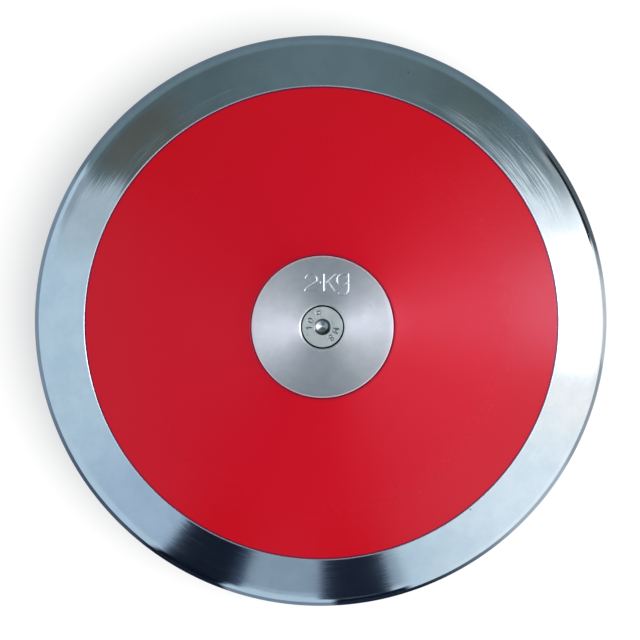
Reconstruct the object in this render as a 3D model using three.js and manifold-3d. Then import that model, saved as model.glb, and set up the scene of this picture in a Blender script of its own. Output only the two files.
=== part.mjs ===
// A 2 kg discus for throwing, built as its separate pieces.
// Millimetres. The disc's axis is Z and the origin is the middle of the disc.
// The two sides are alike: the lower half is the upper half turned over about X.

import * as THREE from 'three';
import { mergeVertices, toCreasedNormals } from 'three/addons/utils/BufferGeometryUtils.js';
import Module from 'manifold-3d';

const wasm = await Module();
wasm.setup();

// The whole disc
const DISC_DIAMETER = 220;
const DISC_THICKNESS = 45; // over the flat middle of both sides
const EDGE_RADIUS = 6; // rounding of the outer edge
const RIM_FACE_WIDTH = 20; // steel that shows on each side, measured in from the outer edge

// Fits between pieces
const SIDE_GAP = 0.3; // between pieces that stand side by side
const STACK_GAP = 0.3; // between pieces that lie on each other
const EDGE_BREAK = 0.3; // small chamfer on the corners that show
const OVERRUN = 1; // how far a cutting body runs past the piece that it cuts

// Rim
const TONGUE_THICKNESS = 10; // the inner step of the rim that both side plates sit on
const TONGUE_WIDTH = 6.2; // how far the tongue reaches in under the side plates
const TONGUE_CHAMFER = 0.8;
const KEY_COUNT = 3; // notches in the tongue, and lugs on each side plate that stand in them
const KEY_WIDTH = 8;
const KEY_DEPTH = 3; // how far a notch reaches into the tongue

// Side plates
const SKIN_THICKNESS = 3;
const RECESS_FLOOR_THICKNESS = 3; // the floor under the centre plate
const RECESS_WALL = 3; // the wall around the centre plate
const BOSS_WALL = 3; // the wall around the socket for the core
const LIP_WALL = 2.7; // the register lip that centres the plate inside the tongue
const LIP_DEPTH = 3.2; // from the land that rests over the tongue down to the lip's end
const RIB_COUNT = 12;
const RIB_THICKNESS = 1.8;
const RIB_SET_BACK = 1; // the ribs end this far short of the ends of the boss and the lip

// Bond rings
const BOND_THICKNESS = 0.8;

// Centre plates
const CENTRE_PLATE_DIAMETER = 53.5;
const CENTRE_PLATE_THICKNESS = 5;

// Screws, M8 countersunk with a hex socket
const SCREW_DIAMETER = 8;
const SCREW_HOLE_GAP = 0.5; // around the shank in the plates
const HEAD_DIAMETER = 15.4;
const HEAD_LAND = 0.2; // short straight edge above the head's cone
const HEAD_RECESS = 0.1; // how far the head lies below the centre plate's face
const SOCKET_ACROSS_FLATS = 5;
const SOCKET_DEPTH = 2.8; // of the straight hex sides, above the drill's cone
const SOCKET_CONE_DEPTH = 0.9;
const TIP_SPACING = 4.6; // between the tips of the two screws, inside the core
const TIP_CHAMFER = 0.8;

// Threaded core, a hex bar
const CORE_ACROSS_FLATS = 14;
const CORE_CHAMFER = 1;

// Trim washers and the pads that hold them
const WASHER_COUNT = 3;
const WASHER_THICKNESS = 1;
const WASHER_WIDTH = 8.6; // from its hole to its outside
const PAD_THICKNESS = 2.6;
const PAD_WIDTH = 4.2;

// Numbers of flats round the turned pieces
const RIM_STEPS = 96;
const PLATE_STEPS = 72;
const SMALL_STEPS = 48;
const EDGE_STEPS = 10; // along the rounded outer edge
const HEX_SIDES = 6;

// Sizes that follow from the ones above
const discRadius = DISC_DIAMETER / 2;
const halfThickness = DISC_THICKNESS / 2;
const edgeCentreRadius = discRadius - EDGE_RADIUS;
const centrePlateRadius = CENTRE_PLATE_DIAMETER / 2;
const recessRadius = centrePlateRadius + SIDE_GAP;
const sidePlateRadius = discRadius - RIM_FACE_WIDTH;
const seatRadius = sidePlateRadius + SIDE_GAP;
const tongueInnerRadius = sidePlateRadius - TONGUE_WIDTH;
const tongueTop = TONGUE_THICKNESS / 2;
const landBottom = tongueTop + STACK_GAP + BOND_THICKNESS + STACK_GAP;
const lipOuterRadius = tongueInnerRadius - SIDE_GAP;
const lipInnerRadius = lipOuterRadius - LIP_WALL;
const lipBottom = landBottom - LIP_DEPTH;
const centrePlateBottom = halfThickness - CENTRE_PLATE_THICKNESS;
const recessFloorTop = centrePlateBottom - STACK_GAP;
const recessFloorBottom = recessFloorTop - RECESS_FLOOR_THICKNESS;
const screwHoleRadius = SCREW_DIAMETER / 2 + SCREW_HOLE_GAP;
const coreHalfLength = recessFloorBottom - STACK_GAP;
const coreCornerRadius = hexCornerRadius(CORE_ACROSS_FLATS);
const bossSocketAcrossFlats = CORE_ACROSS_FLATS + 2 * SIDE_GAP;
const bossRadius = hexCornerRadius(bossSocketAcrossFlats) + BOSS_WALL;
const ringHoleRadius = coreCornerRadius + SIDE_GAP;
const washerPitch = WASHER_THICKNESS + STACK_GAP;
const washerStackTop = (WASHER_COUNT * washerPitch - STACK_GAP) / 2;
const padBottom = washerStackTop + STACK_GAP;
const padTop = padBottom + PAD_THICKNESS;
const bossBottom = padTop + STACK_GAP;

// The taper is the straight line from the rim of the flat middle that touches the rounded edge.
const taperRun = edgeCentreRadius - centrePlateRadius;
const taperReach = Math.hypot(taperRun, halfThickness);
const taperAngle = Math.atan2(halfThickness, taperRun) - Math.asin(EDGE_RADIUS / taperReach);

function hexCornerRadius(acrossFlats) {
  return acrossFlats / 2 / Math.cos(Math.PI / HEX_SIDES);
}

// The height of the disc's outer face at a radius: flat in the middle, then the taper.
function faceHeight(radius) {
  return halfThickness - Math.max(0, radius - centrePlateRadius) * Math.tan(taperAngle);
}

// A closed outline of [radius, height] pairs becomes a turned solid about Z.
function turned(outline, steps) {
  const points = outline.map(([radius, height]) => new THREE.Vector2(radius, height));
  if (THREE.ShapeUtils.isClockWise(points)) points.reverse();
  points.push(points[0].clone());
  const geometry = new THREE.LatheGeometry(points, steps);
  geometry.rotateX(Math.PI / 2);
  return solidFrom(geometry);
}

// A hex prism about Z between two heights, with corners at the top and bottom of the view.
function hexPrism(acrossFlats, bottom, top) {
  const radius = hexCornerRadius(acrossFlats);
  const geometry = new THREE.CylinderGeometry(radius, radius, top - bottom, HEX_SIDES);
  geometry.rotateX(Math.PI / 2);
  geometry.translate(0, 0, (bottom + top) / 2);
  return solidFrom(geometry);
}

// A radial wall: its [radius, height] outline, thickened across the radius, turned to an angle.
function radialWall(outline, thickness, angle) {
  const shape = new THREE.Shape(outline.map(([radius, height]) => new THREE.Vector2(radius, height)));
  const geometry = new THREE.ExtrudeGeometry(shape, { depth: thickness, bevelEnabled: false });
  geometry.translate(0, 0, -thickness / 2);
  geometry.rotateX(Math.PI / 2);
  geometry.rotateZ(angle);
  return solidFrom(geometry);
}

// Angles spread evenly round the axis.
function angles(count) {
  return Array.from({ length: count }, (_, index) => (index * 2 * Math.PI) / count);
}

// A three.js geometry becomes a solid that can be joined and cut.
function solidFrom(geometry) {
  geometry.deleteAttribute('normal');
  geometry.deleteAttribute('uv');
  const merged = mergeVertices(geometry);
  const corners = merged.index.array;
  const kept = [];
  for (let i = 0; i < corners.length; i += 3) {
    const [a, b, c] = corners.slice(i, i + 3);
    if (a !== b && b !== c && c !== a) kept.push(a, b, c);
  }
  return new wasm.Manifold(new wasm.Mesh({
    numProp: 3,
    vertProperties: merged.attributes.position.array,
    triVerts: new Uint32Array(kept),
  }));
}

// A solid becomes a named mesh with a material of its own.
function piece(name, solid, finish) {
  const { vertProperties, triVerts } = solid.getMesh();
  const geometry = new THREE.BufferGeometry();
  geometry.setAttribute('position', new THREE.BufferAttribute(vertProperties, 3));
  geometry.setIndex(new THREE.BufferAttribute(triVerts, 1));
  const mesh = new THREE.Mesh(toCreasedNormals(geometry), new THREE.MeshStandardMaterial(finish));
  mesh.name = name;
  return mesh;
}

// Finishes, as seen in the photograph
const polishedSteel = { color: 0xc4ced6, roughness: 0.12, metalness: 1 };
const turnedSteel = { color: 0xb4bcc4, roughness: 0.32, metalness: 1 };
const platedSteel = { color: 0xa9b0b0, roughness: 0.28, metalness: 1 };
const glossyRed = { color: 0xc31725, roughness: 0.18, metalness: 0 };
const curedAdhesive = { color: 0xb9b08f, roughness: 0.6, metalness: 0 };
const blackRubber = { color: 0x1d1d1f, roughness: 0.85, metalness: 0 };

// The rim's section: tongue, seat wall, tapered face, rounded edge, and the same below.
function rimOutline() {
  const upper = [
    [tongueInnerRadius, tongueTop - TONGUE_CHAMFER],
    [tongueInnerRadius + TONGUE_CHAMFER, tongueTop],
    [seatRadius, tongueTop],
    [seatRadius, faceHeight(seatRadius) - EDGE_BREAK],
    [seatRadius + EDGE_BREAK, faceHeight(seatRadius + EDGE_BREAK)],
  ];
  const edgeStart = Math.PI / 2 - taperAngle;
  for (let step = 0; step < EDGE_STEPS / 2; step += 1) {
    const angle = edgeStart * (1 - (2 * step) / EDGE_STEPS);
    upper.push([edgeCentreRadius + EDGE_RADIUS * Math.cos(angle), EDGE_RADIUS * Math.sin(angle)]);
  }
  const lower = upper.map(([radius, height]) => [radius, -height]).reverse();
  return [...upper, [discRadius, 0], ...lower];
}

function rimSolid() {
  let rim = turned(rimOutline(), RIM_STEPS);
  const width = KEY_WIDTH + 2 * SIDE_GAP;
  const inner = tongueInnerRadius - OVERRUN;
  const outer = tongueInnerRadius + KEY_DEPTH;
  const height = tongueTop + OVERRUN;
  const outline = [[inner, -height], [outer, -height], [outer, height], [inner, height]];
  for (const angle of angles(KEY_COUNT)) rim = rim.subtract(radialWall(outline, width, angle));
  return rim;
}

// The moulded skin with its recess, boss, land and register lip.
function sidePlateBody() {
  const underside = (radius) => faceHeight(radius) - SKIN_THICKNESS;
  const wallRadius = recessRadius + RECESS_WALL;
  return turned([
    [screwHoleRadius, bossBottom],
    [bossRadius, bossBottom],
    [bossRadius, recessFloorBottom],
    [wallRadius, recessFloorBottom],
    [wallRadius, underside(wallRadius)],
    [lipInnerRadius, underside(lipInnerRadius)],
    [lipInnerRadius, lipBottom],
    [lipOuterRadius, lipBottom],
    [lipOuterRadius, landBottom],
    [sidePlateRadius, landBottom],
    [sidePlateRadius, faceHeight(sidePlateRadius) - EDGE_BREAK],
    [sidePlateRadius - EDGE_BREAK, faceHeight(sidePlateRadius - EDGE_BREAK)],
    [recessRadius + EDGE_BREAK, faceHeight(recessRadius + EDGE_BREAK)],
    [recessRadius, faceHeight(recessRadius) - EDGE_BREAK],
    [recessRadius, recessFloorTop],
    [screwHoleRadius, recessFloorTop],
  ], PLATE_STEPS);
}

// A stiffening rib from the boss out to the lip, buried a little in both and in the skin.
function ribOutline() {
  const inner = bossRadius - BOSS_WALL / 2;
  const outer = lipInnerRadius + LIP_WALL / 2;
  const wallMiddle = recessRadius + RECESS_WALL / 2;
  const buried = (radius) => faceHeight(radius) - SKIN_THICKNESS / 2;
  return [
    [inner, bossBottom + RIB_SET_BACK],
    [outer, lipBottom + RIB_SET_BACK],
    [outer, buried(outer)],
    [wallMiddle, buried(wallMiddle)],
    [wallMiddle, recessFloorBottom + RECESS_FLOOR_THICKNESS / 2],
    [inner, recessFloorBottom + RECESS_FLOOR_THICKNESS / 2],
  ];
}

// A lug that stands in a notch of the tongue and keeps the plate from turning.
function lugOutline() {
  const inner = lipInnerRadius + LIP_WALL / 2;
  const outer = tongueInnerRadius + KEY_DEPTH - SIDE_GAP;
  const top = landBottom + SKIN_THICKNESS / 2;
  return [[inner, lipBottom], [outer, lipBottom], [outer, top], [inner, top]];
}

function sidePlateSolid() {
  let plate = sidePlateBody();
  for (const angle of angles(RIB_COUNT)) plate = plate.add(radialWall(ribOutline(), RIB_THICKNESS, angle));
  for (const angle of angles(KEY_COUNT)) plate = plate.add(radialWall(lugOutline(), KEY_WIDTH, angle));
  return plate.subtract(hexPrism(bossSocketAcrossFlats, bossBottom - OVERRUN, recessFloorBottom));
}

// A flat ring between two radii and two heights.
function ringSolid(inner, outer, bottom, top, steps) {
  return turned([[inner, bottom], [outer, bottom], [outer, top], [inner, top]], steps);
}

function bondRingSolid() {
  const inner = tongueInnerRadius + KEY_DEPTH + SIDE_GAP;
  const outer = sidePlateRadius - SIDE_GAP;
  const bottom = tongueTop + STACK_GAP;
  return ringSolid(inner, outer, bottom, bottom + BOND_THICKNESS, PLATE_STEPS);
}

// The centre plate's countersink lies parallel to the screw head's cone, one side gap away.
function centrePlateSolid() {
  const mouthRadius = HEAD_DIAMETER / 2 + HEAD_LAND + HEAD_RECESS + SIDE_GAP;
  const coneDepth = mouthRadius - screwHoleRadius;
  return turned([
    [screwHoleRadius, centrePlateBottom],
    [centrePlateRadius - EDGE_BREAK, centrePlateBottom],
    [centrePlateRadius, centrePlateBottom + EDGE_BREAK],
    [centrePlateRadius, halfThickness - EDGE_BREAK],
    [centrePlateRadius - EDGE_BREAK, halfThickness],
    [mouthRadius, halfThickness],
    [screwHoleRadius, halfThickness - coneDepth],
  ], PLATE_STEPS);
}

// The screw: a 90 degree head, a plain shank for the thread, and a hex socket drilled first.
function screwSolid() {
  const headTop = halfThickness - HEAD_RECESS;
  const headRadius = HEAD_DIAMETER / 2;
  const shankRadius = SCREW_DIAMETER / 2;
  const coneTop = headTop - HEAD_LAND;
  const tip = TIP_SPACING / 2;
  const blank = turned([
    [0, tip],
    [shankRadius - TIP_CHAMFER, tip],
    [shankRadius, tip + TIP_CHAMFER],
    [shankRadius, coneTop - (headRadius - shankRadius)],
    [headRadius, coneTop],
    [headRadius, headTop],
    [0, headTop],
  ], SMALL_STEPS);
  const socketFloor = headTop - SOCKET_DEPTH;
  const drill = turned([
    [0, socketFloor - SOCKET_CONE_DEPTH],
    [SOCKET_ACROSS_FLATS / 2, socketFloor],
    [SOCKET_ACROSS_FLATS / 2, headTop + OVERRUN],
    [0, headTop + OVERRUN],
  ], HEX_SIDES * 2);
  return blank.subtract(drill).subtract(hexPrism(SOCKET_ACROSS_FLATS, socketFloor, headTop + OVERRUN));
}

// The core: a hex bar with turned ends, bored through for the two screws.
function coreSolid() {
  const boreRadius = SCREW_DIAMETER / 2 + SIDE_GAP;
  const cornerRadius = coreCornerRadius;
  const blank = turned([
    [boreRadius, -coreHalfLength],
    [cornerRadius - CORE_CHAMFER, -coreHalfLength],
    [cornerRadius, -coreHalfLength + CORE_CHAMFER],
    [cornerRadius, coreHalfLength - CORE_CHAMFER],
    [cornerRadius - CORE_CHAMFER, coreHalfLength],
    [boreRadius, coreHalfLength],
  ], SMALL_STEPS);
  const length = coreHalfLength + OVERRUN;
  return blank.intersect(hexPrism(CORE_ACROSS_FLATS, -length, length));
}

// The washers are stacked about the middle of the disc.
function washerSolid(index) {
  const bottom = index * washerPitch - washerStackTop;
  const outer = ringHoleRadius + WASHER_WIDTH;
  return ringSolid(ringHoleRadius, outer, bottom, bottom + WASHER_THICKNESS, SMALL_STEPS);
}

function corePadSolid() {
  return ringSolid(ringHoleRadius, ringHoleRadius + PAD_WIDTH, padBottom, padTop, SMALL_STEPS);
}

// One side of the disc, drawn as the upper one.
function halfDisc(side) {
  const half = new THREE.Group();
  half.add(
    piece(`${side}_side_plate`, sidePlateSolid(), glossyRed),
    piece(`${side}_bond_ring`, bondRingSolid(), curedAdhesive),
    piece(`${side}_centre_plate`, centrePlateSolid(), turnedSteel),
    piece(`${side}_screw`, screwSolid(), platedSteel),
    piece(`${side}_core_pad`, corePadSolid(), blackRubber),
  );
  return half;
}

const discus = new THREE.Group();
const bottomHalf = halfDisc('bottom');
bottomHalf.rotation.x = Math.PI;
discus.add(
  piece('rim', rimSolid(), polishedSteel),
  halfDisc('top'),
  bottomHalf,
  piece('threaded_core', coreSolid(), platedSteel),
);
for (let index = 0; index < WASHER_COUNT; index += 1) {
  discus.add(piece(`trim_washer_${index + 1}`, washerSolid(index), platedSteel));
}

export default discus;
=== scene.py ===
# %% [markdown]
# # A 2 kg discus, dressed for its photograph
# A discus is a steel ring that holds two shallow red cones, with a steel plate and a screw in the
# middle of each side. The CAD model already has every piece in its place. This lesson gives the
# pieces that show a finer mesh and a finish, and builds the small studio that polished steel needs.

# %% Load the frame
import math

import bmesh
import bpy
import numpy as np
from mathutils import Matrix, Vector
from mathutils.geometry import delaunay_2d_cdt


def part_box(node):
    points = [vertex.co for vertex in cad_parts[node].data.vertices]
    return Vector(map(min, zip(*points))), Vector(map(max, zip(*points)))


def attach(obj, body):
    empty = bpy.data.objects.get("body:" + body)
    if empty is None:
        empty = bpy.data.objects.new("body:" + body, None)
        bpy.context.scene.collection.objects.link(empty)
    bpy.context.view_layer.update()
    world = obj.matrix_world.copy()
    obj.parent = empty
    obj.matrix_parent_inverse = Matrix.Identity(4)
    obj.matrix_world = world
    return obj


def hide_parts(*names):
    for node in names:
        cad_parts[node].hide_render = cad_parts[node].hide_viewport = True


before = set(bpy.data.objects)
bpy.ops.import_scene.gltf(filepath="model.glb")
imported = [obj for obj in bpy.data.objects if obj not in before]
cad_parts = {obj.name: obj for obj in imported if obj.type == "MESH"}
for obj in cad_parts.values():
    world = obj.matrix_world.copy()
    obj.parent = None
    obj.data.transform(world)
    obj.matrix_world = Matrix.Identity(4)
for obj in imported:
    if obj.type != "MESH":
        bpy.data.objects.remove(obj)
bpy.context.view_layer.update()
MM = 0.001

# %% [markdown]
# ## Sizes
# The scene never invents a place. Radii and heights are read from the boxes of the CAD nodes, so a
# finer piece lands where the plain one was. Only sizes that a box can't tell, such as the rounding
# of the rim's edge, are written here again.

# %% Read the main sizes from the frame
disc_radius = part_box("rim")[1].x
seat_gap = 0.3 * MM
side_plate_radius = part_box("top_side_plate")[1].x
seat_radius = side_plate_radius + seat_gap
centre_plate_low, centre_plate_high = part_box("top_centre_plate")
centre_plate_radius = centre_plate_high.x
half_thickness = centre_plate_high.z
recess_radius = centre_plate_radius + seat_gap
screw_low, screw_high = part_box("top_screw")
head_radius = screw_high.x
edge_radius = 6 * MM
tongue_top = 5 * MM
edge_centre = disc_radius - edge_radius
taper_run = edge_centre - centre_plate_radius
edge_lean = math.asin(edge_radius / math.hypot(taper_run, half_thickness))
taper_angle = math.atan2(half_thickness, taper_run) - edge_lean


def face_height(radius):
    """Height of the disc's outer face: flat in the middle, then a straight taper."""
    return half_thickness - max(0.0, radius - centre_plate_radius) * math.tan(taper_angle)


print("taper", round(math.degrees(taper_angle), 2), "degrees, rim face at the seat",
      round(face_height(seat_radius) / MM, 2), "mm high")

# %% [markdown]
# ## Helpers for node trees
# Colours are written as sRGB hex, as a paint chart has them, and one function turns them to the
# linear values that a shader works in. One more function adds a node, sets it up and links it, so a
# tree reads as a list of its nodes. Two settings come often enough to have a name: a smooth ramp
# between two values, and a mix of colours instead of plain numbers.


# %% Colour and node helpers
SMOOTH = {"interpolation_type": "SMOOTHSTEP"}
COLOUR = {"data_type": "RGBA"}


def linear(hex_colour, level=1.0):
    """An sRGB hex colour as linear red, green, blue and alpha, times a level of brightness."""
    channels = [int(hex_colour[i:i + 2], 16) / 255 for i in (1, 3, 5)]
    plain = [c / 12.92 if c <= 0.04045 else ((c + 0.055) / 1.055) ** 2.4 for c in channels]
    return [level * c for c in plain] + [1.0]


def add_node(tree, kind, inputs=None, **settings):
    """Adds one node. An input gets a value, or a link from a socket or a node's first output."""
    node = tree.nodes.new(kind)
    for name, value in settings.items():
        setattr(node, name, value)
    for key, value in (inputs or {}).items():
        if isinstance(value, bpy.types.Node):
            value = next(output for output in value.outputs if output.enabled)
        if isinstance(value, bpy.types.NodeSocket):
            tree.links.new(value, node.inputs[key])
        else:
            node.inputs[key].default_value = value
    return node


def new_material(name):
    """A material whose tree holds only its output."""
    material = bpy.data.materials.new(name)
    material.use_nodes = True
    material.node_tree.nodes.clear()
    add_node(material.node_tree, "ShaderNodeOutputMaterial")
    return material


def finish_material(material, shader):
    """Links a shader node to the material's output."""
    tree = material.node_tree
    output = next(n for n in tree.nodes if n.type == "OUTPUT_MATERIAL")
    tree.links.new(shader.outputs[0], output.inputs["Surface"])
    return material


print("helpers ready")

# %% [markdown]
# ## Coordinates that follow the lathe
# Turned and polished steel has marks that run round the axis. A picture wrapped on the disc would
# show a seam, so the marks are made from the position itself: the direction from the axis, which
# changes slowly on the way round, and the radius and height, which change fast across the marks.


# %% Lathe coordinates
def from_axis(tree, measure):
    """The way straight out from the axis: its direction for NORMALIZE, its distance for LENGTH."""
    place = add_node(tree, "ShaderNodeTexCoord").outputs["Object"]
    flat = add_node(tree, "ShaderNodeVectorMath", {0: place, 1: (1, 1, 0)}, operation="MULTIPLY")
    return add_node(tree, "ShaderNodeVectorMath", {0: flat}, operation=measure)


def lathe_noise(tree, mark_length, mark_width, at_radius, detail=2.0, roughness=0.5):
    """Noise drawn out round the axis, in marks of a length and a width at one radius."""
    place = add_node(tree, "ShaderNodeTexCoord").outputs["Object"]
    height = add_node(tree, "ShaderNodeSeparateXYZ", {0: place}).outputs["Z"]
    slow = add_node(tree, "ShaderNodeVectorMath", {
        0: from_axis(tree, "NORMALIZE"), "Scale": at_radius / mark_length}, operation="SCALE")
    across = add_node(tree, "ShaderNodeMath", {
        0: from_axis(tree, "LENGTH"), 1: height}, operation="SUBTRACT")
    fast = add_node(tree, "ShaderNodeMath", {0: across, 1: 1 / mark_width}, operation="MULTIPLY")
    lift = add_node(tree, "ShaderNodeCombineXYZ", {"Z": fast})
    wound = add_node(tree, "ShaderNodeVectorMath", {0: slow, 1: lift}, operation="ADD")
    return add_node(tree, "ShaderNodeTexNoise", {
        "Vector": wound, "Scale": 1.0, "Detail": detail, "Roughness": roughness})


def turned_zone(tree, inner, outer, low, high):
    """1 where the radius and the height from the middle plane are both in range."""
    place = add_node(tree, "ShaderNodeTexCoord").outputs["Object"]
    level = add_node(tree, "ShaderNodeSeparateXYZ", {0: place}).outputs["Z"]
    height = add_node(tree, "ShaderNodeMath", {0: level}, operation="ABSOLUTE")
    radius = from_axis(tree, "LENGTH")
    zone = 1.0
    for measure, side, limit in ((radius, "GREATER_THAN", inner), (radius, "LESS_THAN", outer),
                                 (height, "GREATER_THAN", low), (height, "LESS_THAN", high)):
        inside = add_node(tree, "ShaderNodeMath", {0: measure, 1: limit}, operation=side)
        zone = add_node(tree, "ShaderNodeMath", {0: zone, 1: inside}, operation="MULTIPLY")
    return zone


def streaked_normal(tree, along, across, marks_along, marks_across):
    """The surface normal, leaned by two noises: a little along the marks and more across them."""
    normal = add_node(tree, "ShaderNodeNewGeometry").outputs["Normal"]
    outward = from_axis(tree, "NORMALIZE")
    sideways = add_node(tree, "ShaderNodeVectorMath", {
        0: (0, 0, 1), 1: outward}, operation="CROSS_PRODUCT")
    for direction, amount, marks in ((outward, across, marks_across), (sideways, along, marks_along)):
        lean = add_node(tree, "ShaderNodeMapRange", {
            "Value": marks, "From Min": 0.25, "From Max": 0.75,
            "To Min": -amount, "To Max": amount}, clamp=False)
        step = add_node(tree, "ShaderNodeVectorMath", {0: direction, "Scale": lean}, operation="SCALE")
        normal = add_node(tree, "ShaderNodeVectorMath", {0: normal, 1: step}, operation="ADD")
    return add_node(tree, "ShaderNodeVectorMath", {0: normal}, operation="NORMALIZE")


print("lathe coordinates ready")

# %% [markdown]
# ## Polished steel for the rim
# The rim is turned, ground and polished bright. Its colour is almost only what it mirrors, broken by
# fine marks that run round the ring, a slight cloudiness and a few dark pits. Anisotropy smears a
# reflection across those marks, so dark shapes in the studio stay sharp round the ring and go soft
# from its inner to its outer edge. Two narrow bands differ. The corner beside the red plate is
# burnished, a little rougher and less metallic, and its pale pinkish colour is a painted highlight.
# The outer edge, which fingers and grass rub, is buffed a little smoother.


# %% Rim finish
BURNISHED_WIDTH = 0.45 * MM
BURNISHED_START = seat_radius - 0.05 * MM
BURNISHED_LESS_METAL = -0.12
BURNISHED_ROUGHER = 0.1
BUFFED_EDGE = (106 * MM, 107.5 * MM)
BUFFED_SMOOTHER = -0.04
RIM_MARKS_AT = 100 * MM


def polished_steel():
    material = new_material("polished_steel")
    tree = material.node_tree
    fine = lathe_noise(tree, 16 * MM, 0.42 * MM, RIM_MARKS_AT, detail=3.0, roughness=0.6)
    broad = lathe_noise(tree, 70 * MM, 2.6 * MM, RIM_MARKS_AT)
    wobble = lathe_noise(tree, 5 * MM, 0.25 * MM, RIM_MARKS_AT)
    both = add_node(tree, "ShaderNodeMix", {"Factor": 0.3, "A": fine, "B": broad})
    place = add_node(tree, "ShaderNodeTexCoord").outputs["Object"]
    cloud = add_node(tree, "ShaderNodeTexNoise", {
        "Vector": place, "Scale": 1 / (9 * MM), "Detail": 3.0, "Roughness": 0.6})
    cloudy = add_node(tree, "ShaderNodeMapRange", {
        "Value": cloud, "From Min": 0.3, "From Max": 0.7}, **SMOOTH)
    steel = add_node(tree, "ShaderNodeMix", {
        "Factor": cloudy, "A": linear("#DFE5E8"), "B": linear("#E9ECEE")}, **COLOUR)
    pits = add_node(tree, "ShaderNodeTexVoronoi", {"Vector": place, "Scale": 1 / (10 * MM)})
    clean = add_node(tree, "ShaderNodeMapRange", {
        "Value": pits, "From Min": 0.02, "From Max": 0.035}, **SMOOTH)
    spotted = add_node(tree, "ShaderNodeMix", {
        "Factor": clean, "A": linear("#5A5E60"), "B": steel}, **COLOUR)
    # painted highlight: the burnished corner band gets a pale pinkish colour, and is a little rougher and
    # less metallic
    burnished_highlight = turned_zone(tree, BURNISHED_START, seat_radius + BURNISHED_WIDTH,
                            tongue_top, half_thickness)
    colour = add_node(tree, "ShaderNodeMix", {
        "Factor": burnished_highlight, "A": spotted, "B": linear("#F6F1F4")}, **COLOUR)
    metal = add_node(tree, "ShaderNodeMath", {
        0: burnished_highlight, 1: BURNISHED_LESS_METAL, 2: 1.0}, operation="MULTIPLY_ADD")
    marked = add_node(tree, "ShaderNodeMapRange", {
        "Value": fine, "From Min": 0.3, "From Max": 0.7, "To Min": 0.07, "To Max": 0.12})
    edge = add_node(tree, "ShaderNodeMapRange", {
        "Value": from_axis(tree, "LENGTH"), "From Min": BUFFED_EDGE[0], "From Max": BUFFED_EDGE[1]},
        **SMOOTH)
    buffed = add_node(tree, "ShaderNodeMath", {
        0: edge, 1: BUFFED_SMOOTHER, 2: marked}, operation="MULTIPLY_ADD")
    rough = add_node(tree, "ShaderNodeMath", {
        0: burnished_highlight, 1: BURNISHED_ROUGHER, 2: buffed}, operation="MULTIPLY_ADD")
    shader = add_node(tree, "ShaderNodeBsdfPrincipled", {
        "Base Color": colour, "Metallic": metal, "Roughness": rough, "Anisotropic": 0.6,
        "Tangent": from_axis(tree, "NORMALIZE"),
        "Normal": streaked_normal(
            tree, along=0.003, across=0.06, marks_along=wobble, marks_across=both)})
    return finish_material(material, shader)


rim_finish = polished_steel()
print("made", rim_finish.name)

# %% [markdown]
# ## Turned steel for the centre plates
# The plate's face is left as the lathe cut it, with fine rings that catch light as a bow tie. The
# rings of a real plate are a tenth of a millimetre apart, too fine for this picture, so they are
# drawn a little wider. Use has left a few straight scratches, a worn mouth round the screw and a
# worn edge, which is also painted pale pink as a highlight. The steel is painted slightly darker
# towards the edge as shade, and the gap round the screw is painted near black as shade.


# %% Centre plate finish
MOUTH_GAP = 0.5 * MM
MOUTH_WIDTH = 1.0 * MM
MOUTH_DROP = 0.28 * MM
MOUTH_LESS_METAL = -0.15
PLATE_EDGE = 0.45 * MM
EDGE_LESS_METAL = -0.4
EDGE_ROUGHER = 0.2
WORN_SMOOTHER = -0.08
SHADE_OUT = (14 * MM, 26 * MM)
SHADE_OUT_SHARE = 0.1
SHADE_SLACK = 0.1 * MM
PLATE_SHADE_DEPTH = 0.25 * MM
SCRATCH_SOFTNESS = 0.03
SCRATCH_SHARE = 0.6
GAP_SHADE = "#11161C"


def hairlines(tree, angle, length, width, sparse):
    """Straight scratches: 1 on a few thin lines that run at one angle."""
    place = add_node(tree, "ShaderNodeTexCoord").outputs["Object"]
    turned = add_node(tree, "ShaderNodeVectorRotate", {
        "Vector": place, "Angle": math.radians(angle)}, rotation_type="Z_AXIS")
    drawn = add_node(tree, "ShaderNodeVectorMath", {
        0: turned, 1: (1 / length, 1 / width, 0)}, operation="MULTIPLY")
    noise = add_node(tree, "ShaderNodeTexNoise", {"Vector": drawn, "Scale": 1.0, "Detail": 0.0})
    return add_node(tree, "ShaderNodeMapRange", {
        "Value": noise, "From Min": sparse, "From Max": sparse + SCRATCH_SOFTNESS}, **SMOOTH)


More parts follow.
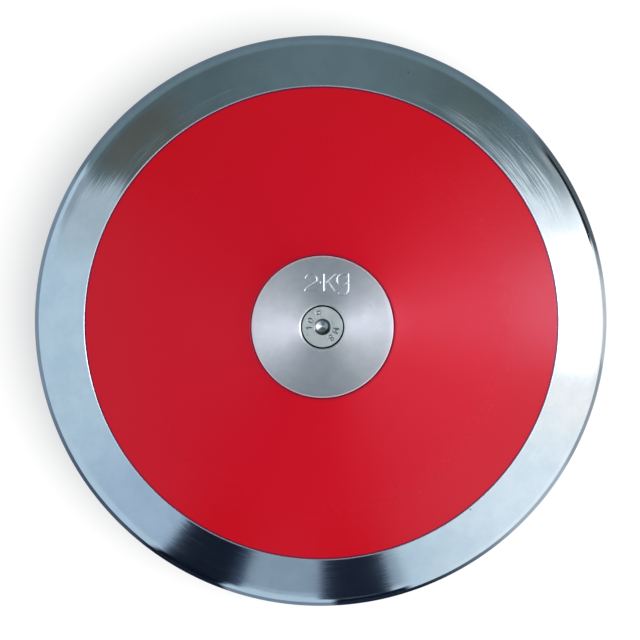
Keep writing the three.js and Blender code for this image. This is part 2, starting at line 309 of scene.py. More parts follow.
def turned_steel():
    material = new_material("turned_steel")
    tree = material.node_tree
    place = add_node(tree, "ShaderNodeTexCoord").outputs["Object"]
    rings = lathe_noise(tree, 45 * MM, 0.3 * MM, 20 * MM, detail=3.0, roughness=0.6)
    patches = add_node(tree, "ShaderNodeTexNoise", {
        "Vector": place, "Scale": 1 / (5 * MM), "Detail": 4.0, "Roughness": 0.65})
    patchy = add_node(tree, "ShaderNodeMapRange", {
        "Value": patches, "From Min": 0.3, "From Max": 0.7}, **SMOOTH)
    steel = add_node(tree, "ShaderNodeMix", {
        "Factor": patchy, "A": linear("#DFDEE1"), "B": linear("#E8E7E9")}, **COLOUR)
    # painted shade: the steel is mixed a little towards black towards the plate's edge
    outer = add_node(tree, "ShaderNodeMapRange", {
        "Value": from_axis(tree, "LENGTH"), "From Min": SHADE_OUT[0], "From Max": SHADE_OUT[1]},
        **SMOOTH)
    outer_shade = add_node(tree, "ShaderNodeMath", {0: outer, 1: SHADE_OUT_SHARE}, operation="MULTIPLY")
    edge_shaded = add_node(tree, "ShaderNodeMix", {
        "Factor": outer_shade, "A": steel, "B": linear("#000000")}, **COLOUR)
    scratches = add_node(tree, "ShaderNodeMath", {
        0: hairlines(tree, angle=38, length=6 * MM, width=0.2 * MM, sparse=0.78),
        1: hairlines(tree, angle=-50, length=8 * MM, width=0.2 * MM, sparse=0.79)},
        operation="MAXIMUM")
    faint = add_node(tree, "ShaderNodeMath", {0: scratches, 1: SCRATCH_SHARE}, operation="MULTIPLY")
    # struck strokes are smoother, and are mixed towards white together with the scratches: on the strokes
    # that is a painted highlight
    struck = add_node(tree, "ShaderNodeAttribute", attribute_name="struck").outputs["Fac"]
    bright = add_node(tree, "ShaderNodeMath", {0: faint, 1: struck}, operation="MAXIMUM")
    scratched = add_node(tree, "ShaderNodeMix", {
        "Factor": bright, "A": edge_shaded, "B": linear("#FFFFFF")}, **COLOUR)
    mouth = head_radius + MOUTH_GAP
    worn_mouth = turned_zone(tree, mouth, mouth + MOUTH_WIDTH, 0, half_thickness)
    # worn edge: less metallic and rougher, and painted pale pink as a highlight
    worn_edge_highlight = turned_zone(tree, centre_plate_radius - PLATE_EDGE, centre_plate_radius,
                            0, half_thickness)
    edge_highlighted = add_node(tree, "ShaderNodeMix", {
        "Factor": worn_edge_highlight, "A": scratched, "B": linear("#FFD9E0")}, **COLOUR)
    # painted shade: the plate's wall down in the gap round the screw is painted near black
    gap = turned_zone(tree, 0, mouth + SHADE_SLACK, 0, half_thickness - PLATE_SHADE_DEPTH)
    colour = add_node(tree, "ShaderNodeMix", {
        "Factor": gap, "A": edge_highlighted, "B": linear(GAP_SHADE)}, **COLOUR)
    edge_metal = add_node(tree, "ShaderNodeMath", {
        0: worn_edge_highlight, 1: EDGE_LESS_METAL, 2: 1.0}, operation="MULTIPLY_ADD")
    metal = add_node(tree, "ShaderNodeMath", {
        0: worn_mouth, 1: MOUTH_LESS_METAL, 2: edge_metal}, operation="MULTIPLY_ADD")
    ringed = add_node(tree, "ShaderNodeMapRange", {
        "Value": rings, "From Min": 0.3, "From Max": 0.7, "To Min": 0.33, "To Max": 0.42})
    edge_rough = add_node(tree, "ShaderNodeMath", {
        0: worn_edge_highlight, 1: EDGE_ROUGHER, 2: ringed}, operation="MULTIPLY_ADD")
    rubbed = add_node(tree, "ShaderNodeMath", {0: worn_mouth, 1: struck}, operation="MAXIMUM")
    rough = add_node(tree, "ShaderNodeMath", {
        0: rubbed, 1: WORN_SMOOTHER, 2: edge_rough}, operation="MULTIPLY_ADD")
    bump = add_node(tree, "ShaderNodeBump", {
        "Height": rings, "Strength": 0.3, "Distance": 0.02 * MM})
    shader = add_node(tree, "ShaderNodeBsdfPrincipled", {
        "Base Color": colour, "Metallic": metal, "Roughness": rough, "Anisotropic": 0.68,
        "Tangent": from_axis(tree, "NORMALIZE"), "Normal": bump})
    return finish_material(material, shader)


plate_finish = turned_steel()
print("made", plate_finish.name)

# %% [markdown]
# ## Zinc plate for screws, core and washers
# Steel fasteners are zinc plated against rust, which leaves a soft, slightly green grey with a faint
# mottle. The marks round the socket are darkened, and the socket itself and the gap round the head are
# painted dark as shade. An attribute that is written when the marks are punched says where.


# %% Zinc finish
HEAD_SHADE_DEPTH = 0.2 * MM


def zinc_plate():
    material = new_material("zinc_plated_steel")
    tree = material.node_tree
    place = add_node(tree, "ShaderNodeTexCoord").outputs["Object"]
    cloud = add_node(tree, "ShaderNodeTexNoise", {
        "Vector": place, "Scale": 1 / (2.5 * MM), "Detail": 1.0})
    zinc = add_node(tree, "ShaderNodeMix", {
        "Factor": cloud, "A": linear("#E4E9E5"), "B": linear("#F2F5F1")}, **COLOUR)
    # painted shade: the head's side down in the gap is painted dark
    gap = turned_zone(tree, head_radius - SHADE_SLACK, 2 * head_radius,
                      0, half_thickness - HEAD_SHADE_DEPTH)
    shade_and_marks = add_node(tree, "ShaderNodeAttribute", attribute_name="shade_and_marks").outputs["Fac"]
    shaded = add_node(tree, "ShaderNodeMath", {0: gap, 1: shade_and_marks}, operation="MAXIMUM")
    colour = add_node(tree, "ShaderNodeMix", {
        "Factor": shaded, "A": zinc, "B": linear("#1E2628")}, **COLOUR)
    rough = add_node(tree, "ShaderNodeMapRange", {
        "Value": cloud, "From Min": 0.1, "From Max": 0.9, "To Min": 0.22, "To Max": 0.38})
    bump = add_node(tree, "ShaderNodeBump", {
        "Height": cloud, "Strength": 0.1, "Distance": 0.03 * MM})
    shader = add_node(tree, "ShaderNodeBsdfPrincipled", {
        "Base Color": colour, "Metallic": 1.0, "Roughness": rough, "Normal": bump})
    return finish_material(material, shader)


zinc_finish = zinc_plate()
print("made", zinc_finish.name)

# %% [markdown]
# ## Moulded ABS for the side plates
# The red plates are moulded in glossy ABS: a saturated red under a thin clear reflection, with a
# faint waviness from the mould. Next to the centre plate the red is painted darker, as shade at the
# recess. The outer half, where the hand holds the disc, is rubbed glossier, and its slightly lighter,
# pinker red is a painted sheen. The moulded corner at the rim is painted dark purple, as shade in the
# joint.


# %% Side plate finish
RED_LIP_SHADE = (27.2 * MM, 28.4 * MM)
HANDLED_RED = (60 * MM, 88 * MM)
HANDLED_SMOOTHER = -0.09
CORNER_SHADE_WIDTH = 0.3 * MM


def moulded_abs():
    material = new_material("glossy_moulded_abs")
    tree = material.node_tree
    place = add_node(tree, "ShaderNodeTexCoord").outputs["Object"]
    flow = add_node(tree, "ShaderNodeTexNoise", {
        "Vector": place, "Scale": 1 / (38 * MM), "Detail": 2.0})
    peel = add_node(tree, "ShaderNodeTexNoise", {
        "Vector": place, "Scale": 1 / (3 * MM), "Detail": 1.0})
    even = add_node(tree, "ShaderNodeMix", {
        "Factor": flow, "A": linear("#C6041A"), "B": linear("#C90820")}, **COLOUR)
    radius = from_axis(tree, "LENGTH")
    handled = add_node(tree, "ShaderNodeMapRange", {
        "Value": radius, "From Min": HANDLED_RED[0], "From Max": HANDLED_RED[1]}, **SMOOTH)
    # the handled outer half is rubbed glossier, and its lighter, pinker red is a painted sheen
    rubbed = add_node(tree, "ShaderNodeMix", {
        "Factor": handled, "A": even, "B": linear("#C60B1C")}, **COLOUR)
    # painted shade: the red next to the centre plate's recess is darker
    past_lip = add_node(tree, "ShaderNodeMapRange", {
        "Value": radius, "From Min": RED_LIP_SHADE[0], "From Max": RED_LIP_SHADE[1]}, **SMOOTH)
    lip_shaded = add_node(tree, "ShaderNodeMix", {
        "Factor": past_lip, "A": linear("#A80228"), "B": rubbed}, **COLOUR)
    # painted shade: the moulded corner at the joint with the rim is painted dark purple
    corner = turned_zone(tree, side_plate_radius - CORNER_SHADE_WIDTH, disc_radius, 0, half_thickness)
    colour = add_node(tree, "ShaderNodeMix", {
        "Factor": corner, "A": lip_shaded, "B": linear("#78123C")}, **COLOUR)
    satin = add_node(tree, "ShaderNodeMapRange", {
        "Value": peel, "From Min": 0.1, "From Max": 0.9, "To Min": 0.27, "To Max": 0.33})
    rough = add_node(tree, "ShaderNodeMath", {
        0: handled, 1: HANDLED_SMOOTHER, 2: satin}, operation="MULTIPLY_ADD")
    bump = add_node(tree, "ShaderNodeBump", {
        "Height": peel, "Strength": 0.1, "Distance": 0.02 * MM})
    shader = add_node(tree, "ShaderNodeBsdfPrincipled", {
        "Base Color": colour, "Roughness": rough, "IOR": 1.5, "Specular IOR Level": 0.38,
        "Specular Tint": linear("#E6E4FF"), "Normal": bump})
    return finish_material(material, shader)


red_finish = moulded_abs()
print("made", red_finish.name)

# %% [markdown]
# ## Cured adhesive and rubber
# The bond rings and the core pads never show, but they still get the finish that they have on a
# bench: one colour with a fine grain, and matte.


# %% Finishes of the hidden pieces
def plain_finish(name, dark, light, grain_size, roughness):
    """A finish of one colour with a fine grain."""
    material = new_material(name)
    tree = material.node_tree
    place = add_node(tree, "ShaderNodeTexCoord").outputs["Object"]
    grain = add_node(tree, "ShaderNodeTexNoise", {
        "Vector": place, "Scale": 1 / grain_size, "Detail": 3.0})
    colour = add_node(tree, "ShaderNodeMix", {
        "Factor": grain, "A": linear(dark), "B": linear(light)}, **COLOUR)
    bump = add_node(tree, "ShaderNodeBump", {
        "Height": grain, "Strength": 0.4, "Distance": 0.05 * MM})
    shader = add_node(tree, "ShaderNodeBsdfPrincipled", {
        "Base Color": colour, "Roughness": roughness, "Normal": bump})
    return finish_material(material, shader)


adhesive_finish = plain_finish("cured_adhesive", "#A89F7C", "#C6BC98", grain_size=1.5 * MM, roughness=0.6)
rubber_finish = plain_finish("black_rubber", "#171719", "#26262A", grain_size=0.8 * MM, roughness=0.8)
print("made", adhesive_finish.name, rubber_finish.name)

# %% [markdown]
# ## A lathe made of nodes
# Every main piece of a discus is turned: one closed section, swept round the axis. Geometry Nodes do
# it with a grid whose columns are angles and whose rows are the section's points. Each grid point
# looks its row up in the section and turns it to its column's angle, so corners stay exact. Two
# rules bend the round: a section point marked as six sided follows a hexagon, and one marked as
# thread sinks and rises along a helix.


# %% The turning tree
WELD_DISTANCE = 0.0001 * MM
SECTION_MARKS = ("six_sided", "thread")


def add_sockets(tree, inputs):
    """Names the tree's inputs, and its one output."""
    for name, kind in inputs:
        tree.interface.new_socket(name, in_out="INPUT", socket_type="NodeSocket" + kind)
    tree.interface.new_socket("Geometry", in_out="OUTPUT", socket_type="NodeSocketGeometry")
    return add_node(tree, "NodeGroupInput").outputs


def close_tree(tree, geometry, material):
    """Ends a tree with Realize Instances and Set Material."""
    real = add_node(tree, "GeometryNodeRealizeInstances", {0: geometry})
    painted = add_node(tree, "GeometryNodeSetMaterial", {"Geometry": real, "Material": material})
    add_node(tree, "NodeGroupOutput", {0: painted})
    return tree


def turning_tree():
    tree = bpy.data.node_groups.new("turn_section_about_axis", "GeometryNodeTree")
    given = add_sockets(tree, [
        ("Section", "Geometry"), ("Steps", "Int"), ("Section Points", "Int"),
        ("Thread Pitch", "Float"), ("Thread Depth", "Float"), ("Material", "Material")])
    points = given["Section Points"]
    # a grid with a column for each angle and a row for each point of the section
    columns = add_node(tree, "ShaderNodeMath", {0: given["Steps"], 1: 1.0}, operation="ADD")
    rows = add_node(tree, "ShaderNodeMath", {0: points, 1: 1.0}, operation="ADD")
    grid = add_node(tree, "GeometryNodeMeshGrid", {
        "Size X": 1.0, "Size Y": 1.0, "Vertices X": columns, "Vertices Y": rows})
    position = add_node(tree, "GeometryNodeInputPosition")
    place = add_node(tree, "ShaderNodeSeparateXYZ", {0: position}).outputs
    angle = add_node(tree, "ShaderNodeMath", {
        0: place["X"], 1: math.tau, 2: math.pi}, operation="MULTIPLY_ADD")
    up = add_node(tree, "ShaderNodeMath", {0: place["Y"], 1: 0.5}, operation="ADD")
    counted = add_node(tree, "ShaderNodeMath", {0: up, 1: points}, operation="MULTIPLY")
    row = add_node(tree, "ShaderNodeMath", {0: counted}, operation="ROUND")
    index = add_node(tree, "ShaderNodeMath", {0: row, 1: points}, operation="FLOORED_MODULO")
    # what the section holds at this row: its point, and whether it is six sided or thread
    sampled = add_node(tree, "GeometryNodeSampleIndex", {
        "Geometry": given["Section"], "Value": position, "Index": index}, data_type="FLOAT_VECTOR")
    point = add_node(tree, "ShaderNodeSeparateXYZ", {0: sampled}).outputs
    marks = {}
    for mark in SECTION_MARKS:
        named = add_node(tree, "GeometryNodeInputNamedAttribute", {"Name": mark}, data_type="FLOAT")
        marks[mark] = add_node(tree, "GeometryNodeSampleIndex", {
            "Geometry": given["Section"], "Value": named, "Index": index}, data_type="FLOAT")
    # a hexagon reaches further out the further the angle is from the middle of a flat
    from_flat = add_node(tree, "ShaderNodeMath", {
        0: angle, 1: math.pi / 6, 2: -math.pi / 6}, operation="WRAP")
    cosine = add_node(tree, "ShaderNodeMath", {0: from_flat}, operation="COSINE")
    reach = add_node(tree, "ShaderNodeMath", {0: 1.0, 1: cosine}, operation="DIVIDE")
    corner = add_node(tree, "ShaderNodeMath", {0: reach, 1: 1.0}, operation="SUBTRACT")
    hexagon = add_node(tree, "ShaderNodeMath", {
        0: marks["six_sided"], 1: corner, 2: 1.0}, operation="MULTIPLY_ADD")
    bent = add_node(tree, "ShaderNodeMath", {0: point["X"], 1: hexagon}, operation="MULTIPLY")
    # a thread sinks and rises once for each pitch along the axis, later on the way round
    along = add_node(tree, "ShaderNodeMath", {
        0: point["Z"], 1: given["Thread Pitch"]}, operation="DIVIDE")
    turns = add_node(tree, "ShaderNodeMath", {0: angle, 1: math.tau}, operation="DIVIDE")
    helix = add_node(tree, "ShaderNodeMath", {0: along, 1: turns}, operation="SUBTRACT")
    phase = add_node(tree, "ShaderNodeMath", {0: helix, 1: 0.5}, operation="PINGPONG")
    wave = add_node(tree, "ShaderNodeMath", {0: phase, 1: 2.0}, operation="MULTIPLY")
    depth = add_node(tree, "ShaderNodeMath", {
        0: marks["thread"], 1: given["Thread Depth"]}, operation="MULTIPLY")
    sunk = add_node(tree, "ShaderNodeMath", {0: wave, 1: depth}, operation="MULTIPLY")
    radius = add_node(tree, "ShaderNodeMath", {0: bent, 1: sunk}, operation="SUBTRACT")
    # every grid point goes to its radius and height, turned to its angle
    flat = add_node(tree, "ShaderNodeCombineXYZ", {"X": radius, "Z": point["Z"]})
    turned = add_node(tree, "ShaderNodeVectorRotate", {
        "Vector": flat, "Angle": angle}, rotation_type="Z_AXIS")
    moved = add_node(tree, "GeometryNodeSetPosition", {"Geometry": grid, "Position": turned})
    welded = add_node(tree, "GeometryNodeMergeByDistance", {
        "Geometry": moved, "Distance": WELD_DISTANCE})
    return close_tree(tree, welded, given["Material"])


turning = turning_tree()
print("turning tree:", len(turning.nodes), "nodes")

# %% [markdown]
# ## From a section to a piece
# A tree runs as a modifier on a piece, and the result is kept as a plain mesh, so the piece holds
# nothing that still has to be worked out. The section is a ring of points in the XZ plane, and each
# point says by an attribute whether it is six sided or part of a thread. Smooth shading would blur
# the corners, so edges above an angle stay sharp.


# %% Turn a section
THREAD_PITCH = 1.25 * MM
THREAD_DEPTH = 0.767 * MM
SHARP_ANGLE = 32
FINE_SHARP_ANGLE = 40


def run_tree(piece, tree, values):
    """Runs a tree on a piece, keeps the result as a plain mesh, and takes the modifier off."""
    modifier = piece.modifiers.new(tree.name, "NODES")
    modifier.node_group = tree
    names = {item.name: item.identifier for item in tree.interface.items_tree if item.in_out == "INPUT"}
    for name, value in values.items():
        modifier[names[name]] = value
    bpy.context.view_layer.update()
    mesh = bpy.data.meshes.new_from_object(piece.evaluated_get(bpy.context.evaluated_depsgraph_get()))
    piece.modifiers.remove(modifier)
    piece.data = mesh
    return piece


def shade(piece, sharp_angle=SHARP_ANGLE):
    """Smooth shading that keeps corners crisp."""
    mesh = piece.data
    mesh.shade_smooth()
    mesh.set_sharp_from_angle(angle=math.radians(sharp_angle))
    return piece


def recalculate(piece):
    """Welds a finished shell and turns its faces outwards."""
    shell = bmesh.new()
    shell.from_mesh(piece.data)
    bmesh.ops.remove_doubles(shell, verts=shell.verts, dist=WELD_DISTANCE)
    bmesh.ops.recalc_face_normals(shell, faces=shell.faces)
    shell.to_mesh(piece.data)
    shell.free()
    return piece


def add_object(name, data):
    """Puts an object for a mesh, a lamp or a camera in the scene."""
    thing = bpy.data.objects.new(name, data)
    bpy.context.scene.collection.objects.link(thing)
    return thing


def write_attribute(mesh, name, values):
    """Writes one number for each of the mesh's points, for a tree or a finish to read."""
    mesh.attributes.new(name, "FLOAT", "POINT").data.foreach_set("value", values)


def turned_piece(name, outline, steps, material):
    """A closed outline, turned about the disc's axis. Its points are (radius, height, mark)."""
    count = len(outline)
    mesh = bpy.data.meshes.new(name)
    mesh.from_pydata([(point[0], 0, point[1]) for point in outline],
                     [(i, (i + 1) % count) for i in range(count)], [])
    for mark in SECTION_MARKS:
        write_attribute(mesh, mark, [float(mark in point[2:]) for point in outline])
    piece = add_object(name, mesh)
    run_tree(piece, turning, {"Steps": steps, "Section Points": count, "Thread Pitch": THREAD_PITCH,
                              "Thread Depth": THREAD_DEPTH, "Material": material})
    return recalculate(piece)


def arc(centre, radius, start, end, steps):
    """Points along an arc in the section, from one angle to another."""
    angles = [start + (end - start) * i / steps for i in range(steps + 1)]
    return [(centre[0] + radius * math.cos(a), centre[1] + radius * math.sin(a)) for a in angles]


print("lathe ready")

# %% [markdown]
# ## Features that repeat round the axis
# Ribs, lugs and notches come in evenly spaced sets. One tree turns copies of a single tool shape
# about the axis and joins them to the body, or cuts them out of it.


# %% The spreading tree
def spreading_tree(operation):
    tree = bpy.data.node_groups.new(operation.lower() + "_tools_round_axis", "GeometryNodeTree")
    given = add_sockets(tree, [
        ("Body", "Geometry"), ("Tool", "Object"), ("Count", "Int"),
        ("First Angle", "Float"), ("Material", "Material")])
    points = add_node(tree, "GeometryNodePoints", {"Count": given["Count"]})
    index = add_node(tree, "GeometryNodeInputIndex")
    step = add_node(tree, "ShaderNodeMath", {0: math.tau, 1: given["Count"]}, operation="DIVIDE")
    angle = add_node(tree, "ShaderNodeMath", {
        0: index, 1: step, 2: given["First Angle"]}, operation="MULTIPLY_ADD")
    turn = add_node(tree, "FunctionNodeAxisAngleToRotation", {"Axis": (0, 0, 1), "Angle": angle})
    tool = add_node(tree, "GeometryNodeObjectInfo", {"Object": given["Tool"]})
    copies = add_node(tree, "GeometryNodeInstanceOnPoints", {
        "Points": points, "Instance": tool.outputs["Geometry"], "Rotation": turn})
    solid = add_node(tree, "GeometryNodeRealizeInstances", {0: copies})
    body_socket = "Mesh 2" if operation == "UNION" else "Mesh 1"
    joined = add_node(tree, "GeometryNodeMeshBoolean", {body_socket: given["Body"]}, operation=operation)
    tree.links.new(solid.outputs[0], joined.inputs["Mesh 2"])
    return close_tree(tree, joined, given["Material"])


join_tools = spreading_tree("UNION")
cut_tools = spreading_tree("DIFFERENCE")


def spread(piece, tree, profile, width, count, material):
    """Joins or cuts bars whose profile in the section plane is extruded to a width."""
    corners = [(x, side * width / 2, z) for side in (-1, 1) for x, z in profile]
    size = len(profile)
    faces = [tuple(range(size)), tuple(reversed(range(size, 2 * size)))]
    faces += [(i, i + size, (i + 1) % size + size, (i + 1) % size) for i in range(size)]
    mesh = bpy.data.meshes.new("tool")
    mesh.from_pydata(corners, [], faces)
    tool = recalculate(add_object("tool", mesh))
    run_tree(piece, tree, {"Tool": tool, "Count": count, "First Angle": 0.0, "Material": material})
    bpy.data.objects.remove(tool)
    return recalculate(piece)


print("spreading trees ready")

# %% [markdown]
# ## The rim
# The ring is one turned bar: a tapered face on each side, a rounded edge that the fingers hook over,
# and a tongue on the inside that the red plates sit on. The section is drawn once for the upper half
# and mirrored, and 512 steps round the ring keep mirror reflections free of corners. Polishing never
# leaves a face quite flat, so it is crowned by a tenth of a millimetre and dips a little where it
# runs into the round edge. That bends the reflections as on the real ring.

# %% Turn the rim
RIM_ROUND = 0.2 * MM
RIM_CORNER_STEPS = 6
RIM_EDGE_STEPS = 40
RIM_FACE_SPAN = (0.04, 0.94)
RIM_FACE_ROWS = 12
RIM_STEPS = 512
rim_crown = 0.09 * MM
rim_dip = 0.12 * MM
dip_start = 103.8 * MM
dip_end = 108.5 * MM
tongue_chamfer = 0.8 * MM
tongue_inner = side_plate_radius - 6.2 * MM
key_count = 3
notch_width = 8.6 * MM
notch_reach = 86.8 * MM
notch_start = tongue_inner - 2 * MM
notch_top = tongue_top + MM


def rim_outline():
    face_turn = math.pi / 2 - taper_angle
    corner = (seat_radius + RIM_ROUND, face_height(seat_radius) - RIM_ROUND)
    face_start = seat_radius + 2 * RIM_ROUND
    face_end = edge_centre + edge_radius * math.cos(face_turn)
    upper = [(tongue_inner, tongue_top - tongue_chamfer), (tongue_inner + tongue_chamfer, tongue_top),
             (seat_radius, tongue_top)]
    upper += arc(corner, RIM_ROUND, math.pi, face_turn, RIM_CORNER_STEPS)
    for share in np.linspace(*RIM_FACE_SPAN, RIM_FACE_ROWS):
        radius = face_start + share * (face_end - face_start)
        upper.append((radius, face_height(radius) + 4 * rim_crown * share * (1 - share)))
    upper += arc((edge_centre, 0), edge_radius, face_turn, 0, RIM_EDGE_STEPS)
    for i, (radius, height) in enumerate(upper):
        share = min(1.0, max(0.0, (radius - dip_start) / (dip_end - dip_start)))
        upper[i] = (radius, height - rim_dip * math.sin(math.pi * share) ** 2)
    return upper + [(radius, -height) for radius, height in reversed(upper[:-1])]


rim = turned_piece("polished_rim", rim_outline(), RIM_STEPS, rim_finish)
notch = [(notch_start, -notch_top), (notch_reach, -notch_top),
         (notch_reach, notch_top), (notch_start, notch_top)]
shade(spread(rim, cut_tools, notch, notch_width, key_count, rim_finish))
print("rim:", len(rim.data.polygons), "faces")

# %% [markdown]
# ## The side plates
# Each red plate is a moulded dish: a 3 mm skin that follows the taper, a recess for the centre plate,
# and a lip that drops inside the rim's tongue. Both plates are the same moulding, so the lower one is
# the upper one turned over about the X axis. The long face gets a few rows between its two rounded
# corners, so that smooth shading doesn't spread a corner's bend over the whole face.

# %% Turn a side plate
skin = 3 * MM
recess_floor = centre_plate_low.z - seat_gap
floor_underside = recess_floor - skin
wall_radius = recess_radius + skin
boss_radius = 11.43 * MM
boss_bottom = 5 * MM
boss_socket = 7.3 * MM
screw_hole = 4.5 * MM
lip_thickness = 2.7 * MM
lip_outer = tongue_inner - seat_gap
lip_inner = lip_outer - lip_thickness
lip_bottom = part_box("top_side_plate")[0].z
lip_drop = 3.2 * MM
land_bottom = lip_bottom + lip_drop
moulded_round = 0.3 * MM
pressed_in = 0.27 * MM
MOULDED_STEPS = 4
FACE_MARGIN = MM
FACE_ROWS = 9
PLATE_STEPS = 384


def underside(radius):
    """Height of the moulded skin's inner face."""
    return face_height(radius) - skin


def side_plate_outline():
    face_turn = math.pi / 2 - taper_angle
    side = side_plate_radius + pressed_in
    outer = (side - moulded_round, face_height(side_plate_radius) - moulded_round)
    inner = (recess_radius + moulded_round, face_height(recess_radius) - moulded_round)
    outline = [(screw_hole, floor_underside), (boss_socket, floor_underside, "six_sided"),
               (boss_socket, boss_bottom, "six_sided"), (boss_radius, boss_bottom),
               (boss_radius, floor_underside), (wall_radius, floor_underside),
               (wall_radius, underside(wall_radius)), (lip_inner, underside(lip_inner)),
               (lip_inner, lip_bottom), (lip_outer, lip_bottom), (lip_outer, land_bottom),
               (side, land_bottom)]
    outline += arc(outer, moulded_round, 0, face_turn, MOULDED_STEPS)
    rows = np.linspace(side_plate_radius - FACE_MARGIN, recess_radius + FACE_MARGIN, FACE_ROWS)
    outline += [(radius, face_height(radius)) for radius in rows]
    outline += arc(inner, moulded_round, face_turn, math.pi, MOULDED_STEPS)
    return outline + [(recess_radius, recess_floor), (screw_hole, recess_floor)]


top_side = turned_piece("top_red_plate", side_plate_outline(), PLATE_STEPS, red_finish)
print("side plate:", len(top_side.data.polygons), "faces")

# %% [markdown]
# The moulding's inside has twelve ribs from the boss to the lip, and three lugs that drop into the
# rim's notches so that the plates can't turn in the ring. Ribs and lugs bite a little into the
# skin, and the lugs end a hair above the lip, because a join goes wrong where two faces share a plane.

# %% Ribs, lugs and the lower plate
rib_count = 12
rib_thickness = 1.8 * MM
rib_set_back = 1 * MM
lug_width = 8 * MM
lug_reach = 86.5 * MM
lug_bottom = lip_bottom + 0.05 * MM
bite = 0.5 * MM
rib = [(boss_radius - bite, boss_bottom + rib_set_back), (lip_inner + bite, lip_bottom + rib_set_back),
       (lip_inner + bite, underside(lip_inner) + bite), (wall_radius - bite, underside(wall_radius) + bite),
       (wall_radius - bite, floor_underside + bite), (boss_radius - bite, floor_underside + bite)]
spread(top_side, join_tools, rib, rib_thickness, rib_count, red_finish)
lug = [(lip_outer - bite, lug_bottom), (lug_reach, lug_bottom), (lug_reach, land_bottom + bite),
       (lip_outer - bite, land_bottom + bite)]
spread(top_side, join_tools, lug, lug_width, key_count, red_finish)
shade(top_side)


def turned_over(piece, name):
    """A copy of an upper piece as its lower twin: half a turn about X."""
    twin = add_object(name, piece.data.copy())
    twin.data.transform(Matrix.Rotation(math.pi, 4, "X"))
    return twin


bottom_side = turned_over(top_side, "bottom_red_plate")
print("ribbed side plate:", len(top_side.data.polygons), "faces")

# %% [markdown]
# ## Stamped marks
# The centre plate carries its mass, punched in with steel letters, and the screw its strength class
# and size. A punch pushes the metal down along each stroke and a little up beside it. The strokes
# are drawn here as plain lines and bows in a box one unit high, and a point's depth depends on its
# distance to the nearest stroke. Hand punches leave uneven strokes, so these aren't quite regular.


# %% Strokes and their depth
BURR_PLACE = 1.35
BURR_SPREAD = 0.35


def bow(x, y, wide, high, start, end, steps=14):
    """Part of an ellipse as a list of points, between two angles in degrees."""
    angles = [math.radians(start + (end - start) * i / steps) for i in range(steps + 1)]
    return [(x + wide * math.cos(a), y + high * math.sin(a)) for a in angles]


STROKES = {
    "0": [bow(0.32, 0.5, 0.32, 0.5, 0, 360, 24)],
    "1": [[(0.12, 0.78), (0.36, 1.0), (0.36, 0.0)]],
    "2": [bow(0.38, 0.7, 0.36, 0.3, 165, -25)
          + [(0.24, 0.27), (0.06, 0.14), (0.0, 0.04), (0.06, 0.0), (0.86, 0.03)]],
    "8": [bow(0.32, 0.75, 0.25, 0.25, 0, 360, 20), bow(0.32, 0.25, 0.32, 0.25, 0, 360, 20)],
    "9": [bow(0.32, 0.7, 0.32, 0.3, 0, 360, 20), [(0.64, 0.7), (0.6, 0.35), (0.36, 0.0)]],
    ".": [[(0.1, 0.0), (0.1, 0.05)]],
    "-": [[(0.03, 0.47), (0.03, 0.53)]],
    "K": [[(0.0, 0.0), (0.0, 1.0)], [(0.68, 1.0), (0.16, 0.5)], [(0.24, 0.58), (0.64, 0.0)]],
    "g": [bow(0.33, 0.66, 0.33, 0.34, 25, 335, 20),
          [(0.7, 1.02), (0.7, 0.08)] + bow(0.36, 0.06, 0.34, 0.32, 0, -140, 10)],
    "M": [[(0.0, 0.0), (0.0, 1.0), (0.38, 0.35), (0.76, 1.0), (0.76, 0.0)]],
}


def segments(strokes, to_place):
    """Start and end points of every straight bit, moved to their place on the metal."""
    placed = [[to_place(x, y) for x, y in stroke] for stroke in strokes]
    return [(np.array(a), np.array(b)) for stroke in placed for a, b in zip(stroke, stroke[1:])]


def stroke_distance(flat, bits):
    """Distance of each point to the nearest straight bit."""
    nearest = np.full(len(flat), np.inf)
    for start, end in bits:
        way = end - start
        along = np.clip((flat - start) @ way / (way @ way), 0, 1)
        nearest = np.minimum(nearest, np.linalg.norm(flat - start - along[:, None] * way, axis=1))
    return nearest


def punched(distance, half_width, depth, burr):
    """Height change at a distance from the stroke: a round groove with a raised lip."""
    groove = -depth * np.clip(1 - (distance / half_width) ** 2, 0, 1)
    from_lip = (distance / half_width - BURR_PLACE) / BURR_SPREAD
    return groove + burr * np.exp(-(from_lip ** 2))


def corner_places(mesh):
    """The mesh's points, a row for each."""
    places = np.empty(len(mesh.vertices) * 3)
    mesh.vertices.foreach_get("co", places)
    return places.reshape(-1, 3)


print("strokes for", len(STROKES), "characters")

# %% [markdown]
# ## The centre plates
# A turned steel plate 5 mm thick with a countersunk hole. Its top corner is rounded, which shows as
# a thin line round the plate, and the hole's mouth is worn to a soft bell. The top face is cut away
# and meshed again as a Delaunay net, dense where the stamp is and open elsewhere. The net fills the
# plate's hole too, so the triangles that lie in it are left out. An attribute says how deep each
# point was struck. The finish reads it to make struck metal smoother, and paints the strokes lighter
# as a highlight.

# %% Turn and stamp a centre plate
plate_bottom = centre_plate_low.z
face_radius = centre_plate_radius - PLATE_EDGE
mouth_radius = head_radius + MOUTH_GAP
inner_face_radius = mouth_radius + MOUTH_WIDTH
PLATE_CORNER_STEPS = 6
MOUTH_ROWS = 11
stamp_height = 6.2 * MM
stamp_base = 13.6 * MM
stamp_starts = {"2": -6.5 * MM, "-": -0.8 * MM, "K": 0.7 * MM, "g": 5.6 * MM}
stamp_low = np.array((-7.9, 10.6)) * MM
stamp_high = np.array((11.2, 20.9)) * MM
STAMP_STEP = 0.13 * MM
STRUCK_HALF_WIDTH = 0.27 * MM
STRUCK_DEPTH = 0.15 * MM
STRUCK_BURR = 0.01 * MM
STRUCK_SHINE = 0.45
OPEN_NET_START = 1.5 * MM
OPEN_NET_GAP = 2 * MM
OPEN_NET_STEPS = 72
FACE_SLACK = 0.1 * MM


